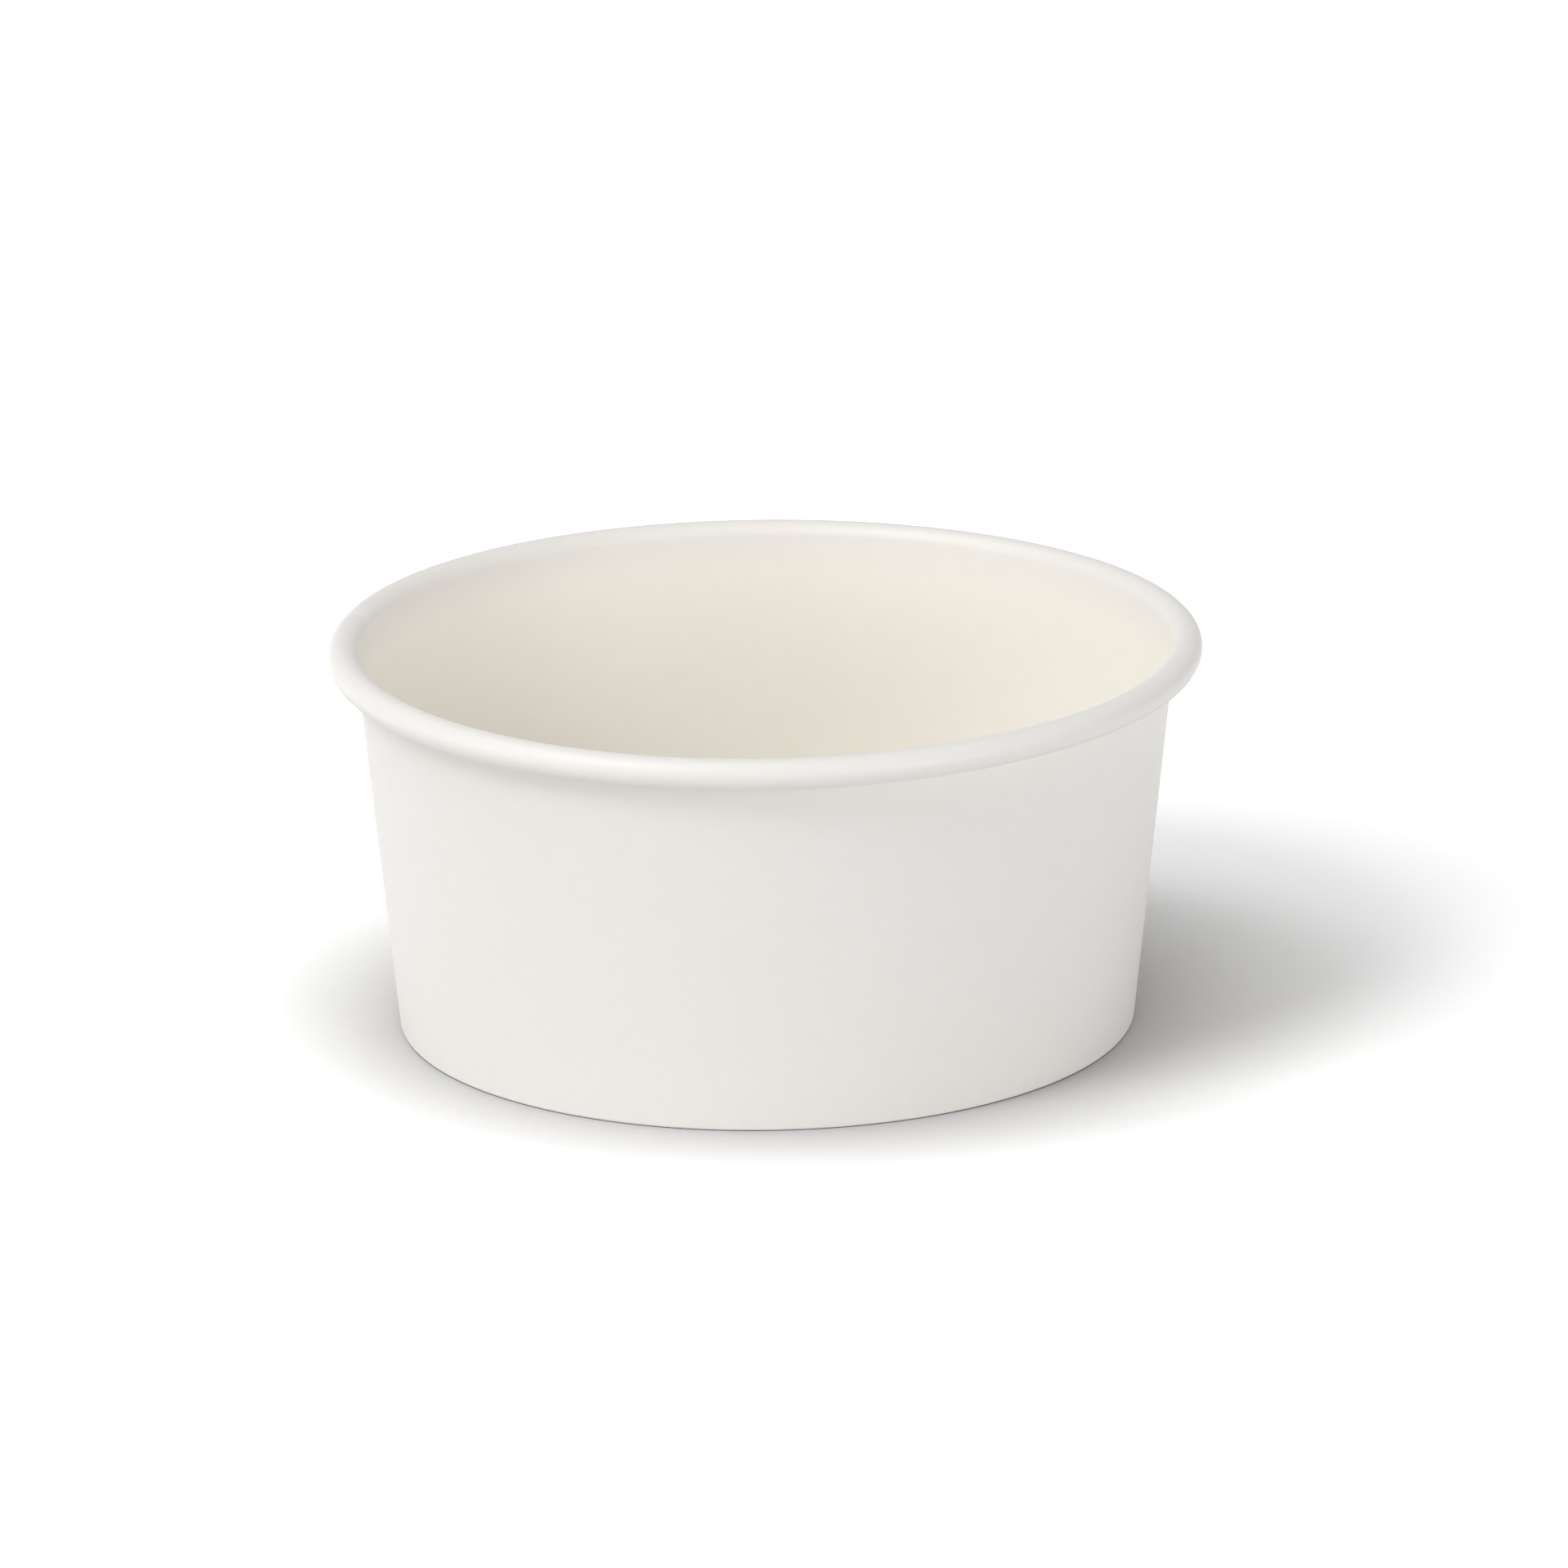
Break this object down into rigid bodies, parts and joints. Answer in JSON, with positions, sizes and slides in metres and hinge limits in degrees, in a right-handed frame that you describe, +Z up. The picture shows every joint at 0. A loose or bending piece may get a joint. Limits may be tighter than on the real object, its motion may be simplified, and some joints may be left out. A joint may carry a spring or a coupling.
{
  "type": "paper sundae cup",
  "caption": "Squat tapered round paper cup, open at the top, with an outward rolled rim, a lapped side seam and a disc floor held in a folded hem above the table.",
  "frame": {"origin": "middle of the foot, on the plane that the cup stands on", "axes": "+Z up along the cup's axis, towards the open mouth; the lapped side seam is near -X, on the +Y side"},
  "size_m": [0.098, 0.098, 0.0445],
  "materials": {
    "wall_board": "white coated board, satin",
    "base_board": "white coated board, satin"
  },
  "bodies": {
    "root": {"sidewall": "wall_board", "bottom_disc": "base_board"}
  },
  "joints": []
}
